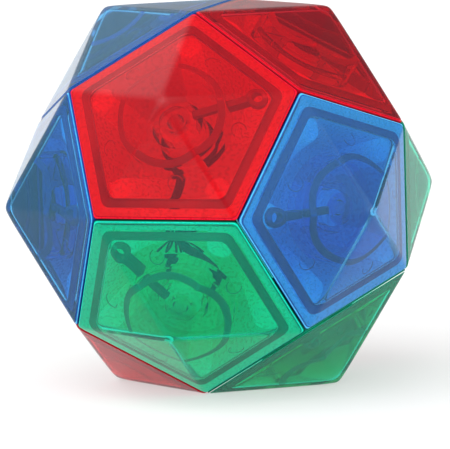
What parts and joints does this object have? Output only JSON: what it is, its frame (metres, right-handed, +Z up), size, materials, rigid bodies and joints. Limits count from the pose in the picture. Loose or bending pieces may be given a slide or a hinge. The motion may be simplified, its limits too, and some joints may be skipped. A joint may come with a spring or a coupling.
{
  "type": "twisting puzzle",
  "caption": "Hand-held twisting puzzle: a ball of hollow five-sided pyramid caps, each turning on its own tray and clicking round a pin in one core.",
  "frame": {"origin": "middle of the puzzle, where all twelve turning axes cross", "axes": "+Z up when it stands on a flat diamond, -Y towards the viewer, +X to the viewer's right"},
  "size_m": [0.076, 0.076, 0.076],
  "materials": {
    "red_plastic": "clear tinted red, glossy, slightly cloudy",
    "blue_plastic": "clear tinted blue, glossy, slightly cloudy",
    "green_plastic": "clear tinted green, glossy, slightly cloudy",
    "core_plastic": "natural milky plastic",
    "dark_cord": "black elastic"
  },
  "bodies": {
    "frame": {"core": "core_plastic", "pins_red": "red_plastic", "pins_blue": "blue_plastic", "pins_green": "green_plastic", "tie_cord": "dark_cord", "tray_front_high": "red_plastic", "tray_front_low": "green_plastic", "tray_right_front": "blue_plastic", "tray_left_front": "blue_plastic", "tray_top_left": "blue_plastic", "tray_top_right": "red_plastic", "tray_right_rear": "green_plastic", "tray_bottom_right": "green_plastic", "tray_bottom_left": "red_plastic", "tray_left_rear": "green_plastic", "tray_rear_high": "blue_plastic", "tray_rear_low": "red_plastic"},
    "front_high_face": {"hub_front_high": "red_plastic", "cap_front_high": "red_plastic"},
    "front_low_face": {"hub_front_low": "green_plastic", "cap_front_low": "green_plastic"},
    "right_front_face": {"hub_right_front": "blue_plastic", "cap_right_front": "blue_plastic"},
    "left_front_face": {"hub_left_front": "blue_plastic", "cap_left_front": "blue_plastic"},
    "top_left_face": {"hub_top_left": "blue_plastic", "cap_top_left": "blue_plastic"},
    "top_right_face": {"hub_top_right": "red_plastic", "cap_top_right": "red_plastic"},
    "right_rear_face": {"hub_right_rear": "green_plastic", "cap_right_rear": "green_plastic"},
    "bottom_right_face": {"hub_bottom_right": "green_plastic", "cap_bottom_right": "green_plastic"},
    "bottom_left_face": {"hub_bottom_left": "red_plastic", "cap_bottom_left": "red_plastic"},
    "left_rear_face": {"hub_left_rear": "green_plastic", "cap_left_rear": "green_plastic"},
    "rear_high_face": {"hub_rear_high": "blue_plastic", "cap_rear_high": "blue_plastic"},
    "rear_low_face": {"hub_rear_low": "red_plastic", "cap_rear_low": "red_plastic"}
  },
  "joints": [
    {"name": "front_high_turn", "type": "hinge", "parent": "frame", "child": "front_high_face", "pos_m": [0, 0, 0], "axis": [0, -0.8507, 0.5257], "range_deg": [-360, 360]},
    {"name": "front_low_turn", "type": "hinge", "parent": "frame", "child": "front_low_face", "pos_m": [0, 0, 0], "axis": [0, -0.8507, -0.5257], "range_deg": [-360, 360]},
    {"name": "right_front_turn", "type": "hinge", "parent": "frame", "child": "right_front_face", "pos_m": [0, 0, 0], "axis": [0.8507, -0.5257, 0], "range_deg": [-360, 360]},
    {"name": "left_front_turn", "type": "hinge", "parent": "frame", "child": "left_front_face", "pos_m": [0, 0, 0], "axis": [-0.8507, -0.5257, 0], "range_deg": [-360, 360]},
    {"name": "top_left_turn", "type": "hinge", "parent": "frame", "child": "top_left_face", "pos_m": [0, 0, 0], "axis": [-0.5257, 0, 0.8507], "range_deg": [-360, 360]},
    {"name": "top_right_turn", "type": "hinge", "parent": "frame", "child": "top_right_face", "pos_m": [0, 0, 0], "axis": [0.5257, 0, 0.8507], "range_deg": [-360, 360]},
    {"name": "right_rear_turn", "type": "hinge", "parent": "frame", "child": "right_rear_face", "pos_m": [0, 0, 0], "axis": [0.8507, 0.5257, 0], "range_deg": [-360, 360]},
    {"name": "bottom_right_turn", "type": "hinge", "parent": "frame", "child": "bottom_right_face", "pos_m": [0, 0, 0], "axis": [0.5257, 0, -0.8507], "range_deg": [-360, 360]},
    {"name": "bottom_left_turn", "type": "hinge", "parent": "frame", "child": "bottom_left_face", "pos_m": [0, 0, 0], "axis": [-0.5257, 0, -0.8507], "range_deg": [-360, 360]},
    {"name": "left_rear_turn", "type": "hinge", "parent": "frame", "child": "left_rear_face", "pos_m": [0, 0, 0], "axis": [-0.8507, 0.5257, 0], "range_deg": [-360, 360]},
    {"name": "rear_high_turn", "type": "hinge", "parent": "frame", "child": "rear_high_face", "pos_m": [0, 0, 0], "axis": [0, 0.8507, 0.5257], "range_deg": [-360, 360]},
    {"name": "rear_low_turn", "type": "hinge", "parent": "frame", "child": "rear_low_face", "pos_m": [0, 0, 0], "axis": [0, 0.8507, -0.5257], "range_deg": [-360, 360]}
  ]
}
